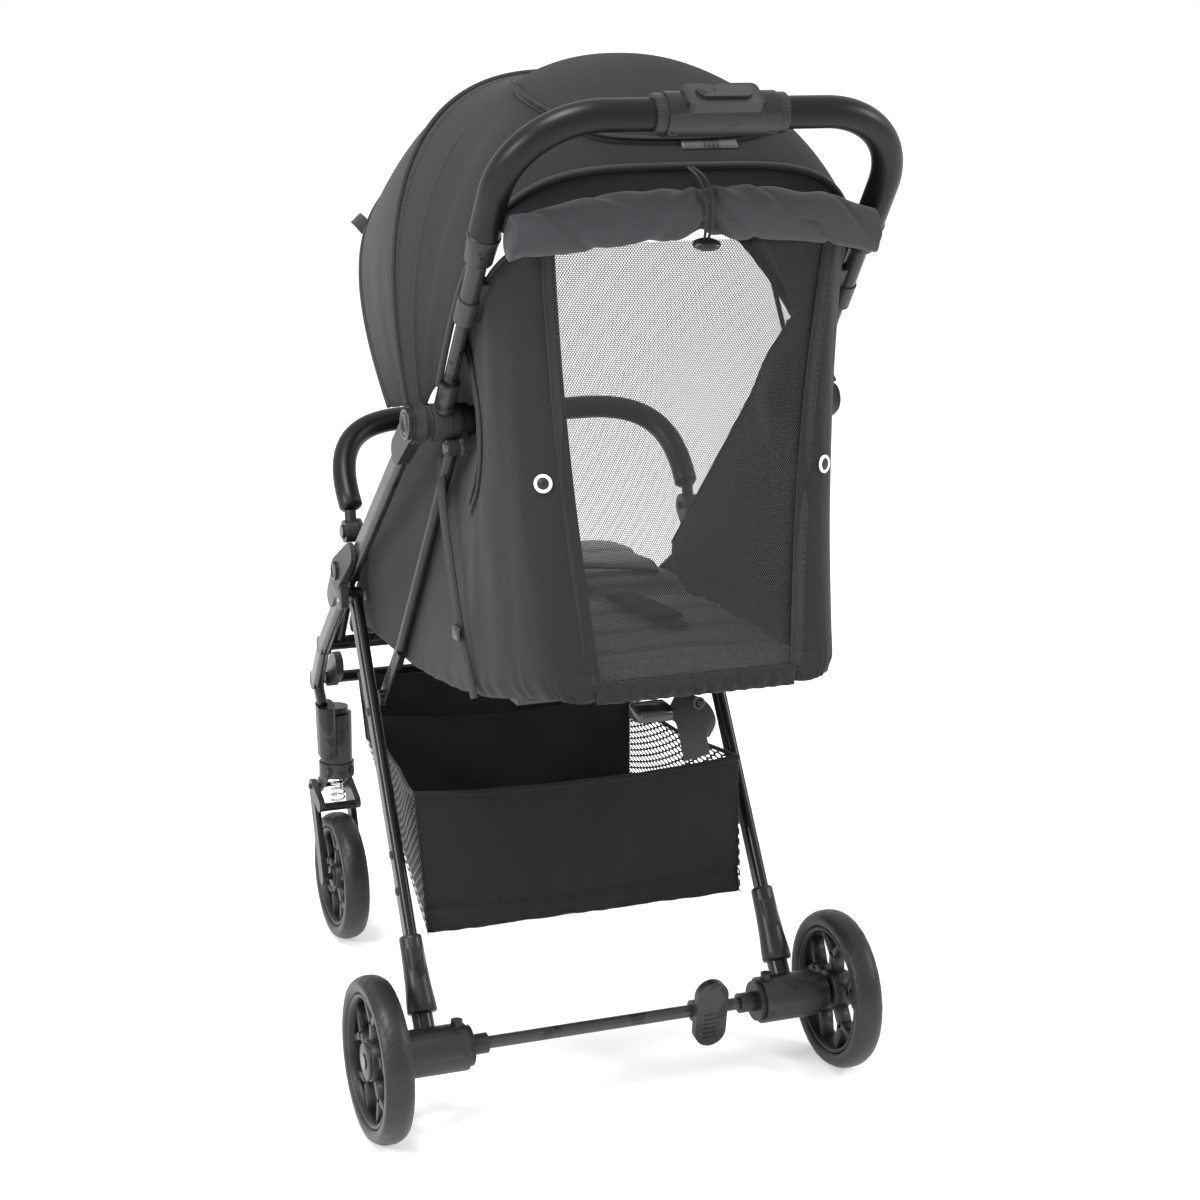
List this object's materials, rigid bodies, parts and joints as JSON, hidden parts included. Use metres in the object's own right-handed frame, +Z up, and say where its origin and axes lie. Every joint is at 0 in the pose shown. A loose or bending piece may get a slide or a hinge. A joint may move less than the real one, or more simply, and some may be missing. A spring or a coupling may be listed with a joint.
{
  "type": "folding pet stroller",
  "caption": "Compact folding pet stroller with lie-flat seat, mesh rear window, folding canopy, bumper bar, storage basket and swivelling sprung front casters.",
  "frame": {"origin": "on the floor, under the middle of the whole stroller's box", "axes": "+Z up, forward (direction of travel) along -Y, +X to the pusher's left"},
  "size_m": [0.541, 0.8488, 1.0632],
  "materials": {
    "painted_tube": "satin charcoal powder coat",
    "satin_plastic": "fine-grained moulded plastic",
    "gloss_plastic": "semi-gloss",
    "pins": "plain",
    "axle_steel": "satin dark grey",
    "spring_chrome": "bright",
    "grip_foam": "closed-cell foam with fine pores",
    "tyre": "matt with moulded tread",
    "rim_plastic": "satin moulded",
    "canopy_fabric": "charcoal twill",
    "canopy_dark_fabric": "near-black twill",
    "cabin_fabric": "near-black plain weave",
    "mesh_fabric": "open honeycomb mesh",
    "basket_fabric": "black plain weave",
    "pad_fabric": "grey quilted",
    "board": "covered board",
    "webbing": "flat woven webbing"
  },
  "bodies": {
    "frame": {"frame_tube_left": "painted_tube", "frame_tube_right": "painted_tube", "knuckles": "satin_plastic", "leg_pivot_pins": "pins", "hinge_housings": "satin_plastic", "hinge_caps": "satin_plastic", "hinge_shafts": "pins", "stay_pins": "pins", "front_crossbars": "painted_tube", "seat_rails": "painted_tube", "seat_board": "board", "seat_pad": "pad_fabric", "side_wall_left": "cabin_fabric", "side_wall_right": "cabin_fabric", "rear_wall": "cabin_fabric", "window_mesh": "mesh_fabric", "basket": "basket_fabric", "caster_sockets": "satin_plastic", "bumper_mounts": "satin_plastic", "harness_buckle": "satin_plastic"},
    "handle": {"handle_hubs": "satin_plastic", "handle_lower_tubes": "painted_tube", "canopy_rear": "canopy_dark_fabric", "rolled_flap": "canopy_dark_fabric"},
    "handle_slide": {"handle_collars": "satin_plastic", "handle_upper_tubes": "painted_tube", "handle_grip": "grip_foam", "handle_module": "satin_plastic"},
    "fold_button": {"fold_button": "gloss_plastic"},
    "canopy": {"canopy_bow_middle": "canopy_fabric", "canopy_front": "canopy_fabric"},
    "visor": {"canopy_bow_front": "canopy_fabric"},
    "rear_legs": {"rear_leg_left": "painted_tube", "rear_leg_right": "painted_tube", "axle_housings": "satin_plastic", "axle_tube": "axle_steel"},
    "brake_pedal": {"brake_pedal": "satin_plastic"},
    "rear_wheel_left": {"rear_rim_left": "rim_plastic", "rear_tyre_left": "tyre"},
    "rear_wheel_right": {"rear_rim_right": "rim_plastic", "rear_tyre_right": "tyre"},
    "stays": {"stay_links": "painted_tube"},
    "backrest": {"backrest_board": "board", "backrest_pad": "pad_fabric", "harness_straps": "webbing"},
    "leg_rest": {"leg_rest": "cabin_fabric"},
    "bumper": {"bumper_bar": "grip_foam", "bumper_ends": "satin_plastic"},
    "bumper_button_left": {"bumper_button_left": "gloss_plastic"},
    "bumper_button_right": {"bumper_button_right": "gloss_plastic"},
    "caster_left": {"caster_left": "satin_plastic", "spring_left": "spring_chrome"},
    "fork_left": {"wheel_fork_left": "satin_plastic"},
    "front_wheel_left": {"front_rim_left": "rim_plastic", "front_tyre_left": "tyre"},
    "caster_right": {"caster_right": "satin_plastic", "spring_right": "spring_chrome"},
    "fork_right": {"wheel_fork_right": "satin_plastic"},
    "front_wheel_right": {"front_rim_right": "rim_plastic", "front_tyre_right": "tyre"}
  },
  "joints": [
    {"name": "fold", "type": "hinge", "parent": "frame", "child": "handle", "pos_m": [0, 0.19855, 0.729], "axis": [1, 0, 0], "range_deg": [0, 120], "deforming": ["rear_wall", "window_mesh", "side_wall_left", "side_wall_right"]},
    {"name": "canopy_collapse", "type": "hinge", "parent": "handle", "child": "canopy", "pos_m": [0, 0.19855, 0.729], "axis": [1, 0, 0], "range_deg": [-60, 0], "deforming": ["canopy_rear"]},
    {"name": "visor", "type": "hinge", "parent": "canopy", "child": "visor", "pos_m": [0, 0.19855, 0.729], "axis": [1, 0, 0], "range_deg": [-16, 0], "deforming": ["canopy_front"]},
    {"name": "leg_fold", "type": "hinge", "parent": "frame", "child": "rear_legs", "pos_m": [0, -0.08245, 0.492], "axis": [1, 0, 0], "range_deg": [-48, 0]},
    {"name": "stay_swing", "type": "hinge", "parent": "frame", "child": "stays", "pos_m": [0, 0.21155, 0.706], "axis": [1, 0, 0], "range_deg": [-13.8, 0]},
    {"name": "bumper_swing", "type": "hinge", "parent": "frame", "child": "bumper", "pos_m": [0, -0.09245, 0.562], "axis": [1, 0, 0], "range_deg": [0, 55]},
    {"name": "recline", "type": "hinge", "parent": "frame", "child": "backrest", "pos_m": [0, 0.01955, 0.48], "axis": [1, 0, 0], "range_deg": [0, 70]},
    {"name": "leg_rest_tilt", "type": "hinge", "parent": "frame", "child": "leg_rest", "pos_m": [0, -0.21045, 0.478], "axis": [1, 0, 0], "range_deg": [-33, 0]},
    {"name": "handle_height", "type": "slide", "parent": "handle", "child": "handle_slide", "axis": [0, 0.5664, 0.8241], "range_m": [-0.04, 0]},
    {"name": "fold_button_press", "type": "slide", "parent": "handle_slide", "child": "fold_button", "axis": [0, -0.5664, -0.8241], "range_m": [0, 0.003], "stiffness_N_per_m": 600, "springref_m": -0.002},
    {"name": "brake", "type": "hinge", "parent": "rear_legs", "child": "brake_pedal", "pos_m": [-0.103, 0.18455, 0.085], "axis": [1, 0, 0], "range_deg": [0, 18]},
    {"name": "rear_wheel_left_spin", "type": "hinge", "parent": "rear_legs", "child": "rear_wheel_left", "pos_m": [0.255, 0.18455, 0.085], "axis": [1, 0, 0], "continuous": true},
    {"name": "rear_wheel_right_spin", "type": "hinge", "parent": "rear_legs", "child": "rear_wheel_right", "pos_m": [-0.255, 0.18455, 0.085], "axis": [1, 0, 0], "continuous": true},
    {"name": "bumper_button_left_press", "type": "slide", "parent": "bumper", "child": "bumper_button_left", "axis": [-1, 0, 0], "range_m": [0, 0.0025], "stiffness_N_per_m": 600, "springref_m": -0.002},
    {"name": "bumper_button_right_press", "type": "slide", "parent": "bumper", "child": "bumper_button_right", "axis": [1, 0, 0], "range_m": [0, 0.0025], "stiffness_N_per_m": 600, "springref_m": -0.002},
    {"name": "caster_left_swivel", "type": "hinge", "parent": "frame", "child": "caster_left", "pos_m": [0.143, -0.36045, 0.21], "axis": [0, 0, 1], "continuous": true},
    {"name": "fork_left_spring", "type": "hinge", "parent": "caster_left", "child": "fork_left", "pos_m": [0.143, -0.38745, 0.18], "axis": [1, 0, 0], "range_deg": [0, 6], "stiffness_Nm_per_rad": 40, "springref_deg": -5.73, "deforming": ["spring_left"]},
    {"name": "front_wheel_left_spin", "type": "hinge", "parent": "fork_left", "child": "front_wheel_left", "pos_m": [0.143, -0.34745, 0.077], "axis": [1, 0, 0], "continuous": true},
    {"name": "caster_right_swivel", "type": "hinge", "parent": "frame", "child": "caster_right", "pos_m": [-0.143, -0.36045, 0.21], "axis": [0, 0, 1], "continuous": true},
    {"name": "fork_right_spring", "type": "hinge", "parent": "caster_right", "child": "fork_right", "pos_m": [-0.143, -0.38745, 0.18], "axis": [1, 0, 0], "range_deg": [0, 6], "stiffness_Nm_per_rad": 40, "springref_deg": -5.73, "deforming": ["spring_right"]},
    {"name": "front_wheel_right_spin", "type": "hinge", "parent": "fork_right", "child": "front_wheel_right", "pos_m": [-0.143, -0.34745, 0.077], "axis": [1, 0, 0], "continuous": true}
  ],
  "couplings": [
    {"joint": "canopy_collapse", "follows": "fold", "ratio": -0.5},
    {"joint": "leg_fold", "follows": "fold", "ratio": -0.4},
    {"joint": "stay_swing", "follows": "fold", "ratio": -0.115},
    {"joint": "bumper_swing", "follows": "fold", "ratio": 0.45833}
  ]
}
